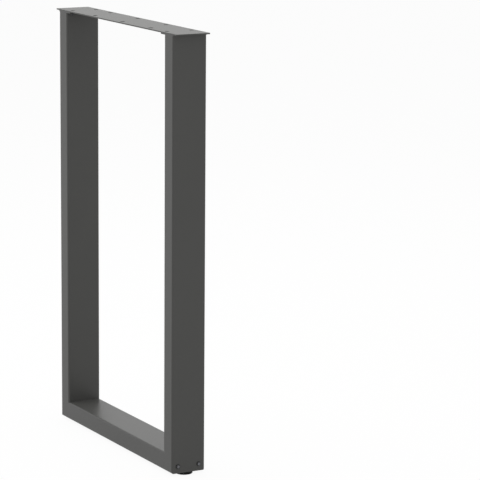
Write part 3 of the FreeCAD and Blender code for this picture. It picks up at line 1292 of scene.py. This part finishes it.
@dataclass
class Studio:
    """A white infinity cove: pale floor, white surround, one soft lamp and the camera.

    Places and distances are in metres, angles in degrees.

    Attributes:
        sight: How far the camera sees.
        floor_bounce: The floor's colour for the light that it throws back up.
        floor_whiteness: Share of pure white in the floor that is seen.
        near_glow: Strength of the floor's mirror image right below the leg.
        glow_reach: How far away that image has its full strength.
    """

    camera_place: tuple[float, float, float] = (3.7776, -1.8895, 1.1727)
    camera_yaw: float = 60.943
    camera_pitch: float = 10.983
    camera_roll: float = 0.452
    lens: float = 193.25
    sensor: float = 36.0
    sight: float = 200.0
    floor_reach: float = 60.0
    floor_colour: str = "#f2f2f1"
    floor_bounce: str = "#c4c4c3"
    floor_whiteness: float = 0.94
    near_glow: float = 0.8
    glow_reach: float = 2.0
    ambient: float = 0.57
    lamp_place: tuple[float, float, float] = (-0.6, -0.2, 3.2)
    lamp_aim: tuple[float, float, float] = (0.0, 0.0, 0.4)
    lamp_size: float = 2.4
    lamp_power: float = 66.0

    def camera(self) -> None:
        """Stands the camera where the photograph was taken from."""
        yaw = math.radians(self.camera_yaw)
        pitch = math.radians(self.camera_pitch)
        roll = math.radians(self.camera_roll)
        forward = Vector(
            (-math.sin(yaw) * math.cos(pitch), math.cos(yaw) * math.cos(pitch), -math.sin(pitch))
        )
        level = forward.cross(Vector((0, 0, 1))).normalized()
        upward = level.cross(forward)
        right = math.cos(roll) * level + math.sin(roll) * upward
        up = math.cos(roll) * upward - math.sin(roll) * level
        data = bpy.data.cameras.new("studio_camera")
        data.lens = self.lens
        data.sensor_width = self.sensor
        data.clip_end = self.sight
        obj = bpy.data.objects.new("studio_camera", data)
        bpy.context.collection.objects.link(obj)
        turn = Matrix((right, up, -forward)).transposed().to_4x4()
        obj.matrix_world = Matrix.Translation(self.camera_place) @ turn
        bpy.context.scene.camera = obj

    def looked_at(self, tree: NodeTree) -> tuple[Node, NodeSocket]:
        """Tells a ray that looks at the studio from one that fetches its light.

        Args:
            tree: The tree of the floor or of the surround.

        Returns:
            The light path, and a value of one where the ray comes from the camera, a glossy
            face or a clear body.
        """
        path = add_node(tree, "ShaderNodeLightPath")
        seen = path.outputs["Is Camera Ray"]
        for kind in ("Is Glossy Ray", "Is Transmission Ray"):
            either = add_node(
                tree, "ShaderNodeMath",
                settings={"operation": "MAXIMUM"},
                links={0: seen, 1: path.outputs[kind]},
            )
            seen = either.outputs["Value"]
        return path, seen

    def mirror_strength(self, tree: NodeTree, path: Node) -> NodeSocket:
        """Dims the floor's mirror image near the leg.

        Upright satin faces then darken a little towards the floor, as in the photograph.

        Args:
            tree: The floor's tree.
            path: The light path.

        Returns:
            The strength of the floor's white.
        """
        place = add_node(tree, "ShaderNodeTexCoord")
        distance = add_node(
            tree, "ShaderNodeVectorMath",
            settings={"operation": "LENGTH"},
            links={0: place.outputs["Object"]},
        )
        mirrored = add_node(
            tree, "ShaderNodeMapRange",
            values={"From Max": self.glow_reach, "To Min": self.near_glow},
            links={"Value": distance.outputs["Value"]},
        )
        strength = add_node(
            tree, "ShaderNodeMix",
            settings={"data_type": "FLOAT"},
            values={2: 1.0},
            links={0: path.outputs["Is Glossy Ray"], 3: mirrored.outputs["Result"]},
        )
        return strength.outputs["Result"]

    def floor_material(self) -> Material:
        """A matt white floor that a camera and reflections see almost as pure white.

        Light that it throws back up is held down, as by a cove that falls away round the leg.

        Returns:
            The material.
        """
        material, tree = new_material("white_studio_floor")
        path, seen = self.looked_at(tree)
        share = add_node(
            tree, "ShaderNodeMath",
            settings={"operation": "MULTIPLY"},
            values={1: self.floor_whiteness},
            links={0: seen},
        )
        tint = add_node(
            tree, "ShaderNodeMix",
            settings={"data_type": "RGBA"},
            values={6: linear(self.floor_colour), 7: linear(self.floor_bounce)},
            links={0: path.outputs["Is Diffuse Ray"]},
        )
        matt = add_node(tree, "ShaderNodeBsdfDiffuse", links={"Color": tint.outputs[2]})
        white = add_node(
            tree, "ShaderNodeEmission", links={"Strength": self.mirror_strength(tree, path)}
        )
        mix = add_node(
            tree, "ShaderNodeMixShader",
            links={0: share.outputs["Value"], 1: matt.outputs["BSDF"], 2: white.outputs[0]},
        )
        add_node(tree, "ShaderNodeOutputMaterial", links={"Surface": mix.outputs["Shader"]})
        return material

    def floor(self) -> None:
        """Lays the floor under the feet."""
        clear_selection()
        bpy.ops.mesh.primitive_plane_add(size=2 * self.floor_reach, location=(0, 0, 0))
        obj = bpy.context.active_object
        obj.name = "studio_floor"
        obj.data.materials.append(self.floor_material())

    def world(self) -> None:
        """Surrounds the leg with white that lights it softly."""
        world = bpy.data.worlds.new("white_surround")
        world.use_nodes = True
        tree = world.node_tree
        tree.nodes.clear()
        _, seen = self.looked_at(tree)
        lights = []
        for strength in (self.ambient, 1.0):
            light = add_node(
                tree, "ShaderNodeBackground", values={"Color": (1, 1, 1, 1), "Strength": strength}
            )
            lights.append(light.outputs["Background"])
        mix = add_node(tree, "ShaderNodeMixShader", links={0: seen, 1: lights[0], 2: lights[1]})
        add_node(tree, "ShaderNodeOutputWorld", links={"Surface": mix.outputs["Shader"]})
        bpy.context.scene.world = world

    def lamp(self) -> None:
        """Hangs a square soft box over the leg, aimed at its middle."""
        data = bpy.data.lights.new("overhead_softbox", "AREA")
        data.size = self.lamp_size
        data.energy = self.lamp_power
        obj = bpy.data.objects.new("overhead_softbox", data)
        bpy.context.collection.objects.link(obj)
        aim = Vector(self.lamp_aim) - Vector(self.lamp_place)
        turn = aim.to_track_quat("-Z", "Y").to_matrix().to_4x4()
        obj.matrix_world = Matrix.Translation(self.lamp_place) @ turn

    def build(self) -> None:
        """Sets the studio up."""
        self.camera()
        self.floor()
        self.world()
        self.lamp()
        bpy.context.scene.view_settings.view_transform = "Standard"


def main() -> None:
    """Dresses the leg piece by piece and sets up the studio."""
    logging.basicConfig(level=logging.INFO, format="%(name)s: %(message)s")
    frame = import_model()
    nodes = frame["nodes"]
    oxide = BLACK_OXIDE.material()
    zinc = ZincPlate().material()
    coat = WeldedFrame().build(nodes)
    FlangeWeld().build(coat)
    rubbed_and_highlit = RUBBED_STEEL_AND_HIGHLIGHT.material()
    ButtonHeadBolt().build(oxide, rubbed_and_highlit)
    CountersunkScrew().build(BLACK_PHOSPHATE.material(), rubbed_and_highlit)
    CornerBracket().build(nodes, zinc)
    LevellingFoot().build(MouldedPolyamide().material(), zinc)
    Studio().build()


if __name__ == "__main__":
    main()
